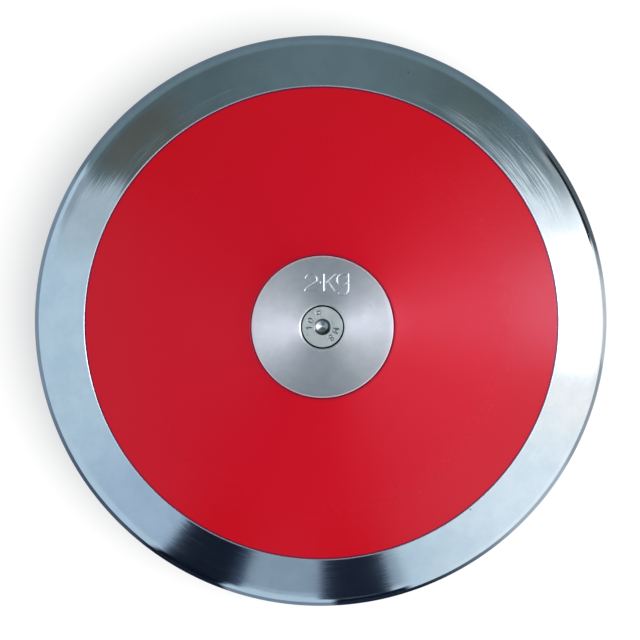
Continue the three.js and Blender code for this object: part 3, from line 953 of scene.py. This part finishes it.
def centre_plate_outline():
    top = half_thickness
    outline = [(screw_hole, plate_bottom), (face_radius, plate_bottom),
               (centre_plate_radius, plate_bottom + PLATE_EDGE)]
    outline += arc((face_radius, top - PLATE_EDGE), PLATE_EDGE, 0, math.pi / 2, PLATE_CORNER_STEPS)
    for angle in np.linspace(math.pi / 2, math.pi, MOUTH_ROWS):
        outline.append((inner_face_radius + MOUTH_WIDTH * math.cos(angle),
                        top - MOUTH_DROP * (1 - math.sin(angle))))
    return outline + [(screw_hole, top - MOUTH_DROP - (mouth_radius - screw_hole))]


def circle_points(radius, steps):
    return [(radius * math.cos(math.tau * i / steps), radius * math.sin(math.tau * i / steps))
            for i in range(steps)]


def under_stamp(point):
    """True in the box that the dense net covers."""
    return all(stamp_low < point) and all(point < stamp_high)


def stamped_face():
    """The plate's top face: a ring of Delaunay triangles, punched along the strokes."""
    across, up = (np.arange(stamp_low[i], stamp_high[i], STAMP_STEP) for i in (0, 1))
    net = [(x, y) for x in across for y in up]
    for radius in np.arange(inner_face_radius + OPEN_NET_START, face_radius - MM, OPEN_NET_GAP):
        net += [point for point in circle_points(radius, OPEN_NET_STEPS) if not under_stamp(point)]
    borders = circle_points(face_radius, PLATE_STEPS) + circle_points(inner_face_radius, PLATE_STEPS)
    edges = [(first + i, first + (i + 1) % PLATE_STEPS)
             for first in (0, PLATE_STEPS) for i in range(PLATE_STEPS)]
    points = [Vector(point) for point in borders + net]
    found, _, faces, *_ = delaunay_2d_cdt(points, edges, [], 0, WELD_DISTANCE / 10)
    flat = np.array([tuple(point) for point in found])
    in_hole = [np.linalg.norm(flat[list(face)].mean(0)) < inner_face_radius for face in faces]
    faces = [face for face, left_out in zip(faces, in_hole) if not left_out]
    bits = []
    for letter, start in stamp_starts.items():
        bits += segments(STROKES[letter], lambda x, y: (
            start + x * stamp_height, stamp_base + y * stamp_height))
    depth = punched(stroke_distance(flat, bits), STRUCK_HALF_WIDTH, STRUCK_DEPTH, STRUCK_BURR)
    return np.column_stack([flat, half_thickness + depth]), faces


def stamp_plate(piece):
    """Swaps the flat top face for the stamped one and welds it in."""
    corners, faces = stamped_face()
    shell = bmesh.new()
    shell.from_mesh(piece.data)
    flat = [f for f in shell.faces if all(abs(v.co.z - half_thickness) < WELD_DISTANCE for v in f.verts)]
    paint = flat[0].material_index
    bmesh.ops.delete(shell, geom=flat, context="FACES")
    fresh = [shell.verts.new(corner) for corner in corners]
    for face in faces:
        shell.faces.new([fresh[i] for i in face]).material_index = paint
    loose = [v for v in shell.verts if not v.link_faces]
    bmesh.ops.delete(shell, geom=loose, context="VERTS")
    shell.to_mesh(piece.data)
    shell.free()
    recalculate(piece)
    places = corner_places(piece.data)
    radii = np.linalg.norm(places[:, :2], axis=1)
    on_face = (radii > inner_face_radius + FACE_SLACK) & (radii < face_radius - FACE_SLACK)
    struck = np.clip((half_thickness - places[:, 2]) / STRUCK_DEPTH, 0, STRUCK_SHINE)
    struck[~on_face | (places[:, 2] < plate_bottom + MM)] = 0
    write_attribute(piece.data, "struck", struck)
    return piece


top_plate = turned_piece("top_steel_plate", centre_plate_outline(), PLATE_STEPS, plate_finish)
shade(stamp_plate(top_plate), FINE_SHARP_ANGLE)
bottom_plate = turned_over(top_plate, "bottom_steel_plate")
print("centre plate:", len(top_plate.data.polygons), "faces")

# %% [markdown]
# ## The screws
# An M8 countersunk screw with a 5 mm hex socket, sunk just below the plate. The thread is a helix on
# the shank, and the strength class 10.9 and the size M8 stand round the socket. The socket's mouth is
# round, from the chamfer that guides the key, and the hole that is drilled before the hexagon is
# pressed leaves the shallow cone at its bottom. A thread finer than this would need more rows: eight
# rows to a pitch show its flanks and keep the mesh small.

# %% Turn a screw
head_land = 0.2 * MM
head_break = 0.15 * MM
HEAD_ROW_GAP = 0.1 * MM
shank_radius = 4 * MM
tip_chamfer = 0.8 * MM
thread_run_in = 0.1 * MM
socket_lead_in = 0.3 * MM
socket_mouth = 3.05 * MM
socket_apothem = 2.5 * MM
socket_depth = 2.8 * MM
socket_floor_slope = math.tan(math.radians(20))
SOCKET_FLOOR_EDGE = 0.97
SOCKET_FLOOR_ROWS = (0.96, 0.88, 0.78, 0.6, 0.4, 0.2, 0)
SCREW_STEPS = 288
THREAD_ROWS_PER_PITCH = 8


def screw_outline():
    top, tip = screw_high.z, screw_low.z
    shank_top = top - head_land - (head_radius - shank_radius)
    thread = np.arange(tip + tip_chamfer + thread_run_in, shank_top - THREAD_PITCH,
                       THREAD_PITCH / THREAD_ROWS_PER_PITCH)
    outline = [(0, tip), (shank_radius - tip_chamfer, tip), (shank_radius, tip + tip_chamfer)]
    outline += [(shank_radius, height, "thread") for height in thread]
    outline += [(shank_radius, shank_top), (head_radius, top - head_land),
                (head_radius, top - head_break), (head_radius - head_break, top)]
    face = np.arange(head_radius - 2 * head_break, socket_mouth + HEAD_ROW_GAP, -HEAD_ROW_GAP)
    outline += [(radius, top) for radius in face]
    outline += [(socket_mouth, top), (socket_apothem, top - socket_lead_in, "six_sided"),
                (socket_apothem, top - socket_depth, "six_sided")]
    for share in SOCKET_FLOOR_ROWS:
        sunk = socket_depth + (SOCKET_FLOOR_EDGE - share) * socket_apothem * socket_floor_slope
        outline.append((share * socket_apothem, top - sunk))
    return outline


top_screw = turned_piece("top_socket_screw", screw_outline(), SCREW_STEPS, zinc_finish)
print("screw:", len(top_screw.data.polygons), "faces")

# %% [markdown]
# Each mark stands on a circle round the socket, upright as seen from the middle, at an angle of its
# own. The marks are darkened, and shade is painted on the rim of the mouth and in the socket, darker
# on one side, while the middle of the cone stays light. It is worked out for every point and written
# as an attribute, which the zinc finish reads.

# %% Mark the screw and paint shade in its socket
mark_height = 2.1 * MM
mark_base = 4.1 * MM
mark_places = {"1": 184, "0": 152, ".": 128, "9": 106, "M": 346, "8": 308}
LETTER_MIDDLE = 0.32
MARK_HALF_WIDTH = 0.2 * MM
MARK_DEPTH = 0.08 * MM
MARK_BURR = 0.01 * MM
# how dark the marks get, and the painted shade on the socket's mouth, walls and floor, darker on one side
MARK_DARK_REACH = 1.3
SOCKET_SHARES = (0.5, 1.5)
MARK_DARKNESS = 0.8
MOUTH_SHADE = 0.75
WALL_SHADE = 0.95
WALL_START = 0.98
FLOOR_SHADE = {0: 0.05, 0.2: 0.15, 0.4: 0.4, 0.78: 0.4, 0.88: 1}
SOCKET_SHADE_SIDE = math.radians(-15)
LIT_SIDE_SHARE = 0.45


def round_the_socket(x, y, angle):
    """A letter's point, moved from its flat box to the circle of marks."""
    turn = math.radians(angle) - (x - LETTER_MIDDLE) * mark_height / (mark_base + mark_height / 2)
    radius = mark_base + y * mark_height
    return radius * math.cos(turn), radius * math.sin(turn)


def socket_shade(corners, radii):
    """How much painted shade each point of the socket gets: by its place on the floor, and by the side."""
    share = radii / socket_apothem
    towards = np.cos(np.arctan2(corners[:, 1], corners[:, 0]) - SOCKET_SHADE_SIDE)
    shade_weight = LIT_SIDE_SHARE + (1 - LIT_SIDE_SHARE) * (0.5 + 0.5 * towards)
    floor_shade = np.interp(share, list(FLOOR_SHADE), list(FLOOR_SHADE.values())) * shade_weight
    return np.where(share < WALL_START, floor_shade, WALL_SHADE)


def mark_screw(piece):
    """Punches the strength class and the size round the socket, darkens the marks and paints shade in the
    socket.
    """
    mesh = piece.data
    corners = corner_places(mesh)
    on_face = abs(corners[:, 2] - screw_high.z) < WELD_DISTANCE
    bits = []
    for letter, angle in mark_places.items():
        bits += segments(STROKES[letter], lambda x, y: round_the_socket(x, y, angle))
    distance = stroke_distance(corners[on_face][:, :2], bits)
    corners[on_face, 2] += punched(distance, MARK_HALF_WIDTH, MARK_DEPTH, MARK_BURR)
    radii = np.linalg.norm(corners[:, :2], axis=1)
    sunk = screw_high.z - corners[:, 2]
    in_socket = ((radii < socket_mouth) & (sunk > SOCKET_SHARES[0] * socket_lead_in)
                 & (sunk < SOCKET_SHARES[1] * socket_depth))
    shade_and_marks = np.zeros(len(corners))
    # darkened marks, then painted shade on the rim of the mouth and in the socket
    shade_and_marks[on_face] = np.clip(MARK_DARK_REACH - distance / MARK_HALF_WIDTH, 0, MARK_DARKNESS)
    shade_and_marks[on_face & (radii < socket_mouth + MARK_BURR)] = MOUTH_SHADE
    shade_and_marks[in_socket] = socket_shade(corners, radii)[in_socket]
    write_attribute(mesh, "shade_and_marks", shade_and_marks)
    mesh.vertices.foreach_set("co", corners.ravel())
    mesh.update()
    return piece


shade(mark_screw(top_screw), FINE_SHARP_ANGLE)
bottom_screw = turned_over(top_screw, "bottom_socket_screw")
print("marked with", "".join(mark_places))

# %% [markdown]
# ## Tie the pieces to the frame
# Each finer piece rides on the one body of the disc and stands for its plain CAD twin. The pieces
# inside keep their CAD mesh and only change their material.

# %% Ride, replace and paint
dressed = [(rim, "rim", "rim_steel"), (top_side, "top_side_plate", "side_plate_abs"),
           (bottom_side, "bottom_side_plate", "side_plate_abs"),
           (top_plate, "top_centre_plate", "centre_plate_steel"),
           (bottom_plate, "bottom_centre_plate", "centre_plate_steel"),
           (top_screw, "top_screw", "fastener_steel"), (bottom_screw, "bottom_screw", "fastener_steel")]
for piece, node, slot in dressed:
    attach(piece, "root")
    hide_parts(node)

kept = {"bond_ring": adhesive_finish, "core_pad": rubber_finish, "washer": zinc_finish, "core": zinc_finish}
for name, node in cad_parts.items():
    finish = next((material for word, material in kept.items() if word in name), None)
    if finish:
        node.data.materials.clear()
        node.data.materials.append(finish)
print("dressed", len(dressed), "pieces")

# %% [markdown]
# ## The floor and the light
# The discus lies on a pale table under one broad soft lamp, a little to the right. The lamp and the
# world light it at a plain level. The white that the camera sees, and that glossy and transmitted
# rays meet, comes from the Light Path node instead, so it adds no light to the disc and the table
# keeps the disc's shadow.

# %% Floor, world and lamp
FLOOR_SIZE = 8.0
TABLE_LIFT = 0.6
FILL_LEVEL = 0.255
LAMP_LEVEL = 0.84
LAMP_WIDTH = math.radians(50)
LAMP_TILT = math.radians(29)
LAMP_SIDE = math.radians(-20)


def seen_white(tree):
    """1 for rays that should meet the white background: camera, glossy and transmission."""
    path = add_node(tree, "ShaderNodeLightPath").outputs
    seen = path["Is Camera Ray"]
    for ray in ("Is Glossy Ray", "Is Transmission Ray"):
        seen = add_node(tree, "ShaderNodeMath", {0: seen, 1: path[ray]}, operation="MAXIMUM")
    return seen


def white_table():
    material = new_material("white_table")
    tree = material.node_tree
    diffuse = add_node(tree, "ShaderNodeBsdfDiffuse", {"Color": linear("#B4B4B4")})
    glow = add_node(tree, "ShaderNodeEmission", {"Color": linear("#FFFFFF"), "Strength": TABLE_LIFT})
    nothing = add_node(tree, "ShaderNodeEmission", {"Strength": 0.0})
    lift = add_node(tree, "ShaderNodeMixShader", {0: seen_white(tree), 1: nothing, 2: glow})
    both = add_node(tree, "ShaderNodeAddShader", {0: diffuse, 1: lift})
    return finish_material(material, both)


def white_studio():
    world = bpy.data.worlds.new("studio")
    world.use_nodes = True
    tree = world.node_tree
    tree.nodes.clear()
    fill, white = (add_node(tree, "ShaderNodeBackground", {
        "Color": linear("#FFFFFF"), "Strength": strength}) for strength in (FILL_LEVEL, 1.0))
    both = add_node(tree, "ShaderNodeMixShader", {0: seen_white(tree), 1: fill, 2: white})
    add_node(tree, "ShaderNodeOutputWorld", {0: both})
    return world


bpy.ops.mesh.primitive_plane_add(size=FLOOR_SIZE, location=(0, 0, -half_thickness))
floor = bpy.context.object
floor.name = "table"
floor.data.materials.append(white_table())
bpy.context.scene.world = white_studio()

lamp_data = bpy.data.lights.new("soft_lamp", "SUN")
lamp_data.energy = math.pi * LAMP_LEVEL
lamp_data.angle = LAMP_WIDTH
lamp = add_object("soft_lamp", lamp_data)
lamp.rotation_euler = (0, LAMP_TILT, LAMP_SIDE)
lamp.visible_glossy = False
print("floor at", round(-half_thickness / MM, 2), "mm")

# %% [markdown]
# ## The reflection tent
# A polished ring shows whatever stands round it. A photographer hangs a tent of cloth over such a
# piece, white on one side and grey on the other, with dark bars that draw the ring's shape. This
# one is a dome that only glossy rays can see, so it colours the reflections and nothing else. Its
# panels are given by their place as the camera meets it in the disc: the azimuth, and the polar
# angle from the direction that a flat mirror on the disc would show. The flat centre plate shows
# what hangs near the pole, the tapered faces what hangs about 25 to 32 degrees from it, and the
# rim's round edge what is further out. A later panel hangs in front of an earlier one.

# %% Hang the tent
TENT_RADIUS = 3.0
LEAN_X = math.radians(-1.08)
LEAN_Y = math.radians(3.91)
view_axis = Vector((math.tan(LEAN_X), math.tan(LEAN_Y), 1.0)).normalized()
mirrored_axis = Vector((-view_axis.x, -view_axis.y, view_axis.z))
straight_up = Vector((0, 0, 1))
# name, colour, strength, azimuth from and to, its soft edges, polar angle from and to, its softness,
# and how many degrees each side widens for each degree further from the pole
TENT_PANELS = [
    ("room", "#BCD4E6", 1.0, 0, 360, 0, 0, 0, 180, 1, 0),
    ("left corner", "#B0C2CE", 1.0, 138, 164, 12, 14, 0, 44, 8, 0),
    ("lower left", "#A9C0D8", 1.0, 212, 240, 24, 4, 0, 44, 8, 0),
    ("between the bars", "#90A4B7", 1.0, 250, 288, 3, 3, 0, 43, 12, 0),
    ("glow", "#E4F2FC", 1.08, 301, 420, 44, 20, 0, 180, 1, 0),
    ("low glow", "#EAF6FF", 1.12, 306, 420, 34, 20, 52, 180, 8, 0),
    ("warm glow", "#F6F7F8", 1.12, 334, 352, 20, 4, 0, 180, 1, 0),
    ("inner glow", "#EEF6FC", 1.17, 320, 341, 12, 8, 21, 28.3, 3, 0),
    ("bright glow", "#F4F8FD", 1.22, 347, 384, 12, 12, 0, 180, 1, 0),
    ("high window", "#EEF1F8", 1.35, 327, 392, 30, 14, 18, 25, 4, 0),
    ("high left window", "#EEF1F8", 1.8, 168, 210, 14, 14, 12, 22, 5, 0),
    ("window", "#E8ECF8", 6.2, 351.5, 375, 7, 8, 25, 68, 8, 0),
    ("wall", "#62767E", 1.0, 38.8, 110, 17, 10, 0, 180, 1, 3.0),
    ("wall shade", "#556567", 1.0, 48, 66, 10, 30, 28, 50, 6, 0),
    ("left wall", "#62767E", 1.0, 80, 145.5, 10, 4, 0, 180, 1, 0.6),
    ("left wall shade", "#55676E", 1.0, 108, 145.5, 24, 4, 28, 50, 6, 1.0),
    # a pale panel that the rim's inner part mirrors: a painted reflection
    ("inner pale panel", "#9FAFB7", 1.0, 40, 56, 12, 12, 0, 29.2, 2.5, 0),
    ("inner streaks", "#7A8D94", 1.0, 56, 144, 10, 5, 0, 26.0, 1, 0),
    ("low wall", "#6C838C", 1.0, 38, 146.8, 10, 4, 53, 180, 8, 0),
    ("wall patch", "#575C58", 1.0, 124, 145, 12, 5, 27.8, 40, 6, 0),
    ("corner streak", "#95A6B2", 1.0, 148, 160, 6, 10, 37, 57, 6, 0),
    ("strip", "#9CA8AB", 1.0, 27.5, 37.5, 8, 8, 40, 57, 6, 0),
    ("dark corner", "#20282C", 1.0, 13.2, 34.6, 4, 4, 61, 100, 6, 0),
    ("left bar side", "#2C3B54", 1.0, 236.3, 253.9, 1.5, 1.5, 0, 54, 12, 0),
    ("left bar", "#121928", 1.0, 237.6, 251.4, 1.5, 1.5, 0, 62, 8, 0),
    ("left bar foot", "#0C1422", 1.0, 235.7, 251.2, 3, 2, 55, 180, 6, 0),
    ("right bar side", "#2C3B54", 1.0, 270.0, 284.9, 1.6, 1.2, 0, 54, 6, 0),
    ("right bar", "#161E2F", 1.0, 271.5, 283.7, 1.5, 2.4, 0, 55, 6, 0),
    ("right bar foot", "#121C2B", 1.0, 273.2, 288.2, 2, 2, 55, 180, 5, 0),
    ("high right glow", "#EEF1F8", 1.9, 12, 46, 10, 16, 9, 20, 4, 0),
    ("far left glow", "#EEF1F8", 1.9, 134, 180, 24, 10, 9, 20, 4, 0),
    ("zenith", "#A9B1B8", 1.0, 0, 360, 0, 0, 0, 12, 12, 0),
    ("zenith shade", "#404952", 1.0, 222, 318, 30, 30, 2, 23, 4, 0),
]
# the same for the table's dim copy of the room
TABLE_PANELS = [
    ("room", "#8495A8", 1.0, 0, 360, 0, 0, 0, 180, 1, 0),
    ("left shade", "#4C5A70", 1.0, 204, 236, 26, 4, 0, 180, 1, 0),
    ("under the bars", "#7E8EA2", 1.0, 248, 276, 4, 4, 0, 180, 1, 0),
    ("glow", "#B4C0CC", 1.0, 309, 331, 18, 8, 0, 180, 1, 0),
    ("low window", "#9FA9B1", 1.0, 331, 373, 8, 4, 0, 180, 1, 0),
    ("window", "#CBD1D7", 1.0, 350.8, 368, 3, 6, 0, 180, 1, 0),
    ("dark corner", "#5A646C", 1.0, 13.4, 41, 4, 10, 0, 180, 1, 0),
    ("wall", "#687A87", 1.0, 46, 149.5, 10, 5, 0, 180, 1, 0),
    ("left bar foot", "#182130", 1.0, 231.2, 250.6, 8, 2, 0, 180, 1, 0),
    ("right bar foot", "#1D293A", 1.0, 273, 302, 2, 26, 0, 180, 1, 0),
]
POLAR_MIDDLE = math.radians(30)
POLAR_SPAN = (math.radians(-7), math.radians(4))


def panel_mask(tree, azimuth, polar, sides):
    """1 inside a panel, with a soft edge on each side."""
    start, end, start_soft, end_soft, near, far, soft, spread_out = sides
    edges = []
    if end - start < 360:
        half = (end - start) / 2
        shifted = add_node(tree, "ShaderNodeMath", {
            0: azimuth, 1: math.radians((start + end) / 2)}, operation="SUBTRACT")
        away = add_node(tree, "ShaderNodeMath", {
            0: shifted, 1: math.pi, 2: -math.pi}, operation="WRAP")
        before = after = away
        if spread_out:
            past = add_node(tree, "ShaderNodeMath", {0: polar, 1: POLAR_MIDDLE}, operation="SUBTRACT")
            further = add_node(tree, "ShaderNodeClamp", {0: past, 1: POLAR_SPAN[0], 2: POLAR_SPAN[1]})
            wider = add_node(tree, "ShaderNodeMath", {0: further, 1: spread_out}, operation="MULTIPLY")
            before = add_node(tree, "ShaderNodeMath", {0: away, 1: wider}, operation="ADD")
            after = add_node(tree, "ShaderNodeMath", {0: away, 1: wider}, operation="SUBTRACT")
        edges += [(before, -half, start_soft, 0.0), (after, half, end_soft, 1.0)]
    if near > 0:
        edges.append((polar, near, soft, 0.0))
    if far < 180:
        edges.append((polar, far, soft, 1.0))
    mask = 1.0
    for value, at, softness, at_first in edges:
        edge = add_node(tree, "ShaderNodeMapRange", {
            "Value": value, "From Min": math.radians(at - softness / 2),
            "From Max": math.radians(at + softness / 2),
            "To Min": at_first, "To Max": 1 - at_first}, **SMOOTH)
        mask = add_node(tree, "ShaderNodeMath", {0: mask, 1: edge}, operation="MULTIPLY")
    return mask


def tent_cloth(name, panels):
    """Glowing cloth whose colour is built up panel by panel."""
    material = new_material(name)
    tree = material.node_tree
    place = add_node(tree, "ShaderNodeTexCoord").outputs["Object"]
    level = add_node(tree, "ShaderNodeVectorRotate", {
        "Vector": place, "Axis": mirrored_axis.cross(straight_up).normalized(),
        "Angle": mirrored_axis.angle(straight_up)})
    split = add_node(tree, "ShaderNodeSeparateXYZ", {0: level}).outputs
    azimuth = add_node(tree, "ShaderNodeMath", {0: split["Y"], 1: split["X"]}, operation="ARCTAN2")
    far = add_node(tree, "ShaderNodeVectorMath", {0: level}, operation="LENGTH")
    height = add_node(tree, "ShaderNodeMath", {0: split["Z"], 1: far}, operation="DIVIDE")
    polar = add_node(tree, "ShaderNodeMath", {0: height}, operation="ARCCOSINE")
    colour = linear(panels[0][1])
    for _, panel_hex, strength, *sides in panels[1:]:
        colour = add_node(tree, "ShaderNodeMix", {
            "Factor": panel_mask(tree, azimuth, polar, sides), "A": colour,
            "B": linear(panel_hex, strength)}, **COLOUR)
    glow = add_node(tree, "ShaderNodeEmission", {"Color": colour, "Strength": 1.0})
    material.cycles.emission_sampling = "NONE"
    return finish_material(material, glow)


def only_reflected(thing, name, panels):
    """Names and paints a stage piece that only reflections see."""
    thing.name = name
    thing.data.materials.append(tent_cloth(name, panels))
    thing.visible_camera = False
    thing.visible_diffuse = False
    thing.visible_shadow = False
    thing.visible_transmission = False


bpy.ops.mesh.primitive_uv_sphere_add(segments=64, ring_count=32, radius=TENT_RADIUS)
only_reflected(bpy.context.object, "reflection_tent", TENT_PANELS)
print("tent hung at", TENT_RADIUS, "m, with", len(TENT_PANELS), "panels")

# %% [markdown]
# The underside of the rim's round edge mirrors the table. On the photograph it shows as a thin dark
# line, because the table there lies in the disc's own shade and only mirrors the room dimly. A flat
# ring with a dim copy of the tent does that, again only for reflections.

# %% Lay the dim ring
DIM_RING_SHARE = 0.9
DIM_RING_LIFT = 0.2 * MM
bpy.ops.mesh.primitive_circle_add(vertices=96, radius=TENT_RADIUS * DIM_RING_SHARE, fill_type="NGON",
                                  location=(0, 0, -half_thickness + DIM_RING_LIFT))
only_reflected(bpy.context.object, "dim_table_reflection", TABLE_PANELS)
print("dim ring laid")

# %% [markdown]
# ## The camera
# The photograph looks almost straight down at the disc. The centre plate stands 22 mm nearer than
# the rim and shows 6 pixels lower, and the circles are a trace flatter than round, so the camera
# stands about 4 degrees off the axis, 0.9 m away.

# %% Place the camera
VIEW_DISTANCE = 0.906
FRAME_WIDTH = 246.3 * MM
AIM = Vector((-0.52, 1.10, 0)) * MM
camera_data = bpy.data.cameras.new("camera")
camera_data.sensor_width = 36.0
camera_data.lens = camera_data.sensor_width * VIEW_DISTANCE / FRAME_WIDTH
camera_data.clip_start = 0.05
camera_data.clip_end = 20.0
camera = add_object("camera", camera_data)
camera.location = AIM + view_axis * VIEW_DISTANCE
camera_right = Vector((0, 1, 0)).cross(view_axis).normalized()
camera_up = view_axis.cross(camera_right)
camera.rotation_euler = Matrix((camera_right, camera_up, view_axis)).transposed().to_euler()
bpy.context.scene.camera = camera
bpy.context.scene.view_settings.view_transform = "Standard"
print("lens", round(camera_data.lens, 1), "mm")
